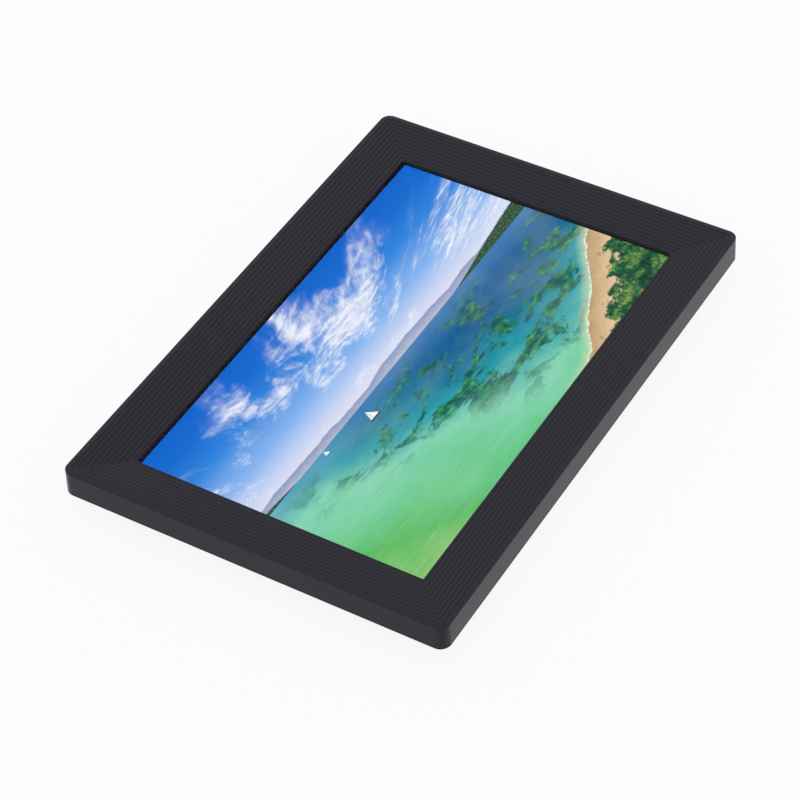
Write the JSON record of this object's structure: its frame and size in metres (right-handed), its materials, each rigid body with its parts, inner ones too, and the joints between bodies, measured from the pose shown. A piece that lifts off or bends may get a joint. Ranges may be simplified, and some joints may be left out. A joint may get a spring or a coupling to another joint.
{
  "type": "digital photo frame",
  "caption": "Digital photo frame with a dished, fluted bezel round a landscape screen, a raised rear housing, a folding kickstand and a power button.",
  "frame": {"origin": "under the middle of the frame, in the plane of the undersides of the rubber feet, with the frame lying on its back", "axes": "+X along the long side to the picture's right, +Y towards the top of the picture, +Z out of the screen"},
  "size_m": [0.2642, 0.183, 0.0208],
  "materials": {
    "casing": "charcoal moulded plastic, satin, fluted",
    "cover": "charcoal moulded plastic, fine texture",
    "stand": "charcoal moulded plastic, fine texture",
    "button": "black moulded plastic, satin",
    "screws": "black oxide steel",
    "rubber": "matt black rubber",
    "foam": "black foam tape",
    "glass": "clear, polished",
    "screen": "lit picture behind a glossy face",
    "film": "white film",
    "acrylic": "clear acrylic",
    "steel": "plain sheet steel",
    "board": "green solder mask",
    "chip": "black moulded resin",
    "socket": "cream nylon",
    "ribbon": "amber film ribbon",
    "lead": "black insulated lead"
  },
  "bodies": {
    "frame": {"front_bezel": "casing", "rear_cover": "cover", "case_screw_1": "screws", "case_screw_2": "screws", "case_screw_3": "screws", "case_screw_4": "screws", "case_screw_5": "screws", "case_screw_6": "screws", "rubber_foot_1": "rubber", "rubber_foot_2": "rubber", "rubber_foot_3": "rubber", "rubber_foot_4": "rubber", "dust_gasket": "foam", "touch_glass": "glass", "lcd_cell": "screen", "diffuser_sheet": "film", "light_guide": "acrylic", "reflector_sheet": "film", "led_strip": "film", "panel_tray": "steel", "panel_board": "board", "hinge_pin_left": "steel", "hinge_pin_right": "steel", "power_switch": "steel", "main_board": "board", "board_screw_1": "steel", "board_screw_2": "steel", "board_screw_3": "steel", "board_screw_4": "steel", "processor_chip": "chip", "memory_chip_1": "chip", "memory_chip_2": "chip", "flash_chip": "chip", "wifi_module": "steel", "power_inductor": "chip", "display_socket": "socket", "speaker_socket": "socket", "touch_socket": "socket", "power_socket": "steel", "card_socket": "steel", "display_ribbon": "ribbon", "touch_ribbon": "ribbon", "antenna": "board", "antenna_lead": "lead", "speaker_left": "chip", "speaker_right": "chip", "speaker_lead_left": "lead", "speaker_lead_right": "lead"},
    "stand": {"kickstand": "stand", "kickstand_foot": "rubber"},
    "button": {"power_button": "button", "switch_plunger": "socket"}
  },
  "joints": [
    {"name": "stand_hinge", "type": "hinge", "parent": "frame", "child": "stand", "pos_m": [0, 0.012, 0.0036], "axis": [1, 0, 0], "range_deg": [0, 38]},
    {"name": "button_press", "type": "slide", "parent": "frame", "child": "button", "axis": [0, -1, 0], "range_m": [0, 0.0004], "stiffness_N_per_m": 2000}
  ]
}
